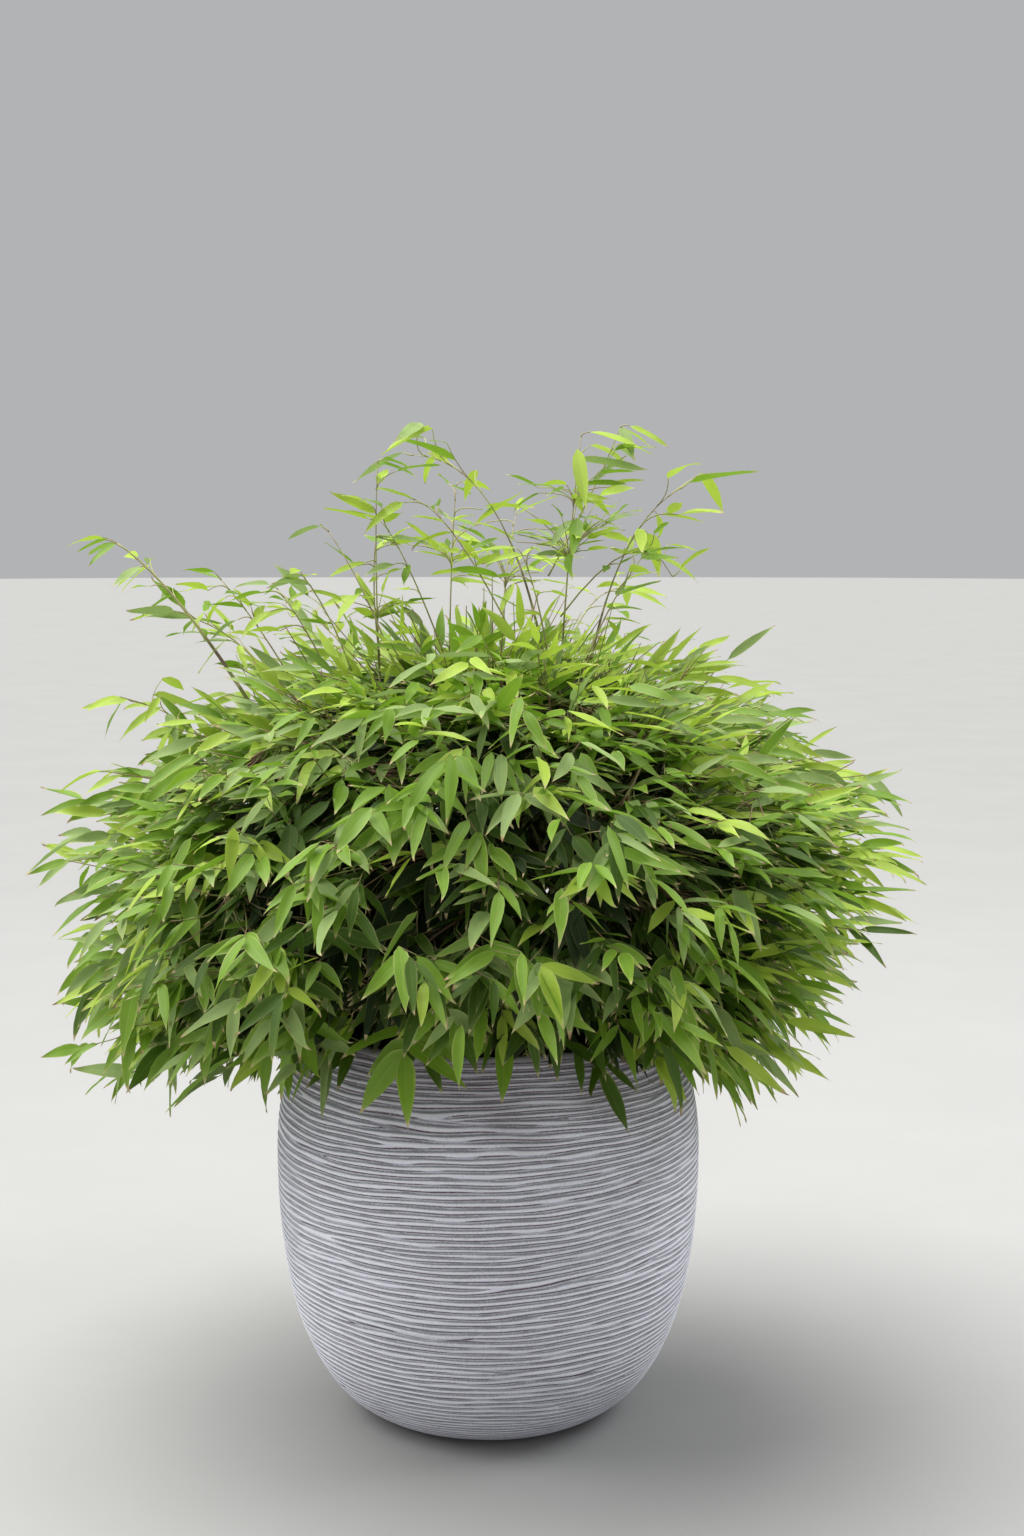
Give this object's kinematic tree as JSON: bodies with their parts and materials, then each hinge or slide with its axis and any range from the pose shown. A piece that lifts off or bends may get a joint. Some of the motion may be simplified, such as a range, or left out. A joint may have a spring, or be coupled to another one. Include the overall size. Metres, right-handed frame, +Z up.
{
  "type": "potted clumping bamboo",
  "caption": "Bushy clumping bamboo with a dome of narrow leaves and a few loose shoots above it, in a ribbed, egg-shaped pale grey patio pot.",
  "frame": {"origin": "middle of the pot's flat foot, on the ground", "axes": "+Z up along the pot's axis, +X to the right as seen from the front, +Y to the back"},
  "size_m": [0.8596, 0.859, 1.0117],
  "materials": {
    "pot": "matt pale grey, weathered over darker grey grooves",
    "soil": "dark moist potting soil",
    "cane": "smooth green to tan cane",
    "leaves": "matt mid green leaves",
    "young_leaves": "fresh yellow green leaves"
  },
  "bodies": {
    "root": {"pot": "pot", "soil": "soil", "skirt_cane_1": "cane", "skirt_cane_2": "cane", "skirt_cane_3": "cane", "skirt_cane_4": "cane", "skirt_cane_5": "cane", "skirt_cane_6": "cane", "middle_cane_1": "cane", "middle_cane_2": "cane", "middle_cane_3": "cane", "middle_cane_4": "cane", "middle_cane_5": "cane", "upper_cane_1": "cane", "upper_cane_2": "cane", "upper_cane_3": "cane", "upper_cane_4": "cane", "top_cane": "cane", "shoot_cane_1": "cane", "shoot_cane_2": "cane", "shoot_cane_3": "cane", "shoot_cane_4": "cane", "shoot_cane_5": "cane", "shoot_cane_6": "cane", "shoot_cane_7": "cane", "shoot_cane_8": "cane", "shoot_cane_9": "cane", "shoot_foliage_1": "young_leaves", "shoot_foliage_2": "young_leaves", "shoot_foliage_3": "young_leaves", "shoot_foliage_4": "young_leaves", "shoot_foliage_5": "young_leaves", "shoot_foliage_6": "young_leaves", "shoot_foliage_7": "young_leaves", "shoot_foliage_8": "young_leaves", "shoot_foliage_9": "young_leaves", "skirt_foliage_1": "leaves", "skirt_foliage_2": "leaves", "skirt_foliage_3": "leaves", "skirt_foliage_4": "leaves", "skirt_foliage_5": "leaves", "skirt_foliage_6": "leaves", "middle_foliage_1": "leaves", "middle_foliage_2": "leaves", "middle_foliage_3": "leaves", "middle_foliage_4": "leaves", "middle_foliage_5": "leaves", "upper_foliage_1": "leaves", "upper_foliage_2": "leaves", "upper_foliage_3": "leaves", "upper_foliage_4": "leaves", "top_foliage": "leaves"}
  },
  "joints": []
}
